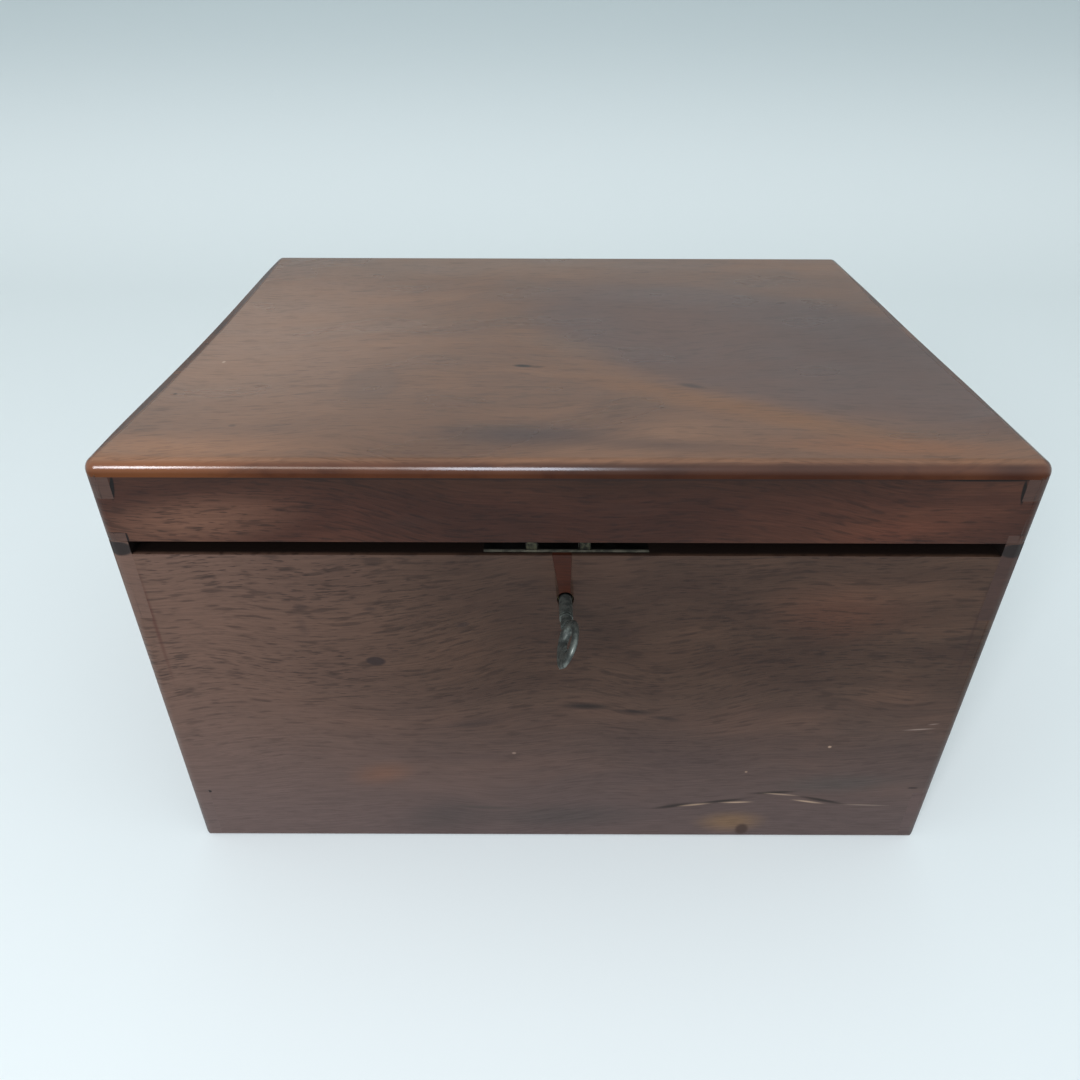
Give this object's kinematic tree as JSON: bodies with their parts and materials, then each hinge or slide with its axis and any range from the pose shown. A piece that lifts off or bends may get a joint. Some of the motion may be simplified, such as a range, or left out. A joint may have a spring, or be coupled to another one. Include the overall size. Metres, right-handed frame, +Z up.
{
  "type": "lidded wooden glove box",
  "caption": "Dovetailed mahogany box with a hinged lid and a brass link lock; its hollow key turns to throw the bolt through the lid's hooks.",
  "frame": {"origin": "middle of the underside of the box, on the surface it stands on", "axes": "+X to the right along the width, +Y to the back where the hinges are, +Z up"},
  "size_m": [0.28, 0.2471, 0.1662],
  "materials": {
    "mahogany": "worn wax over dark mahogany, grain along the board",
    "mahogany_side": "worn wax over dark mahogany, with end grain on the tails",
    "mahogany_top": "faded, waxed mahogany with a redder rounded edge",
    "red_slip": "dark red wood, waxed",
    "pine": "bare old pine, dusty",
    "aged_brass": "tarnished brass with scratches",
    "dark_iron": "dull dark iron",
    "key_iron": "tarnished grey iron, worn bright on the bow"
  },
  "bodies": {
    "case": {"front_panel": "mahogany", "back_panel": "mahogany", "left_side": "mahogany_side", "right_side": "mahogany_side", "bottom_board": "pine", "bottom_brads": "dark_iron", "keyhole_slip": "red_slip", "hinge_left_case_leaf": "aged_brass", "hinge_right_case_leaf": "aged_brass", "hinge_left_pin": "dark_iron", "hinge_right_pin": "dark_iron", "hinge_case_screws": "aged_brass", "lock_plate": "aged_brass", "lock_cap": "aged_brass", "lock_pillars": "aged_brass", "lock_drill_pin": "dark_iron", "lock_stumps": "aged_brass", "lock_ward": "aged_brass", "lock_spring": "dark_iron", "lock_screws": "aged_brass"},
    "lid": {"lid_top": "mahogany_top", "lid_front_rail": "mahogany", "lid_back_rail": "mahogany", "lid_left_rail": "mahogany_side", "lid_right_rail": "mahogany_side", "hinge_left_lid_leaf": "aged_brass", "hinge_right_lid_leaf": "aged_brass", "hinge_lid_screws": "aged_brass", "link_plate": "aged_brass", "link_hooks": "aged_brass", "link_screws": "aged_brass"},
    "bolt": {"lock_bolt": "aged_brass"},
    "key": {"key": "key_iron"}
  },
  "joints": [
    {"name": "lid_hinge", "type": "hinge", "parent": "case", "child": "lid", "pos_m": [0, 0.1064, 0.139], "axis": [-1, 0, 0], "range_deg": [0, 95]},
    {"name": "key_turn", "type": "hinge", "parent": "case", "child": "key", "pos_m": [0, -0.1086, 0.1175], "axis": [0, -1, 0], "range_deg": [0, 48]},
    {"name": "bolt_slide", "type": "slide", "parent": "case", "child": "bolt", "axis": [-1, 0, 0], "range_m": [0, 0.00423]}
  ],
  "couplings": [
    {"joint": "key_turn", "follows": "bolt_slide", "rad_per_m": 198.04}
  ]
}
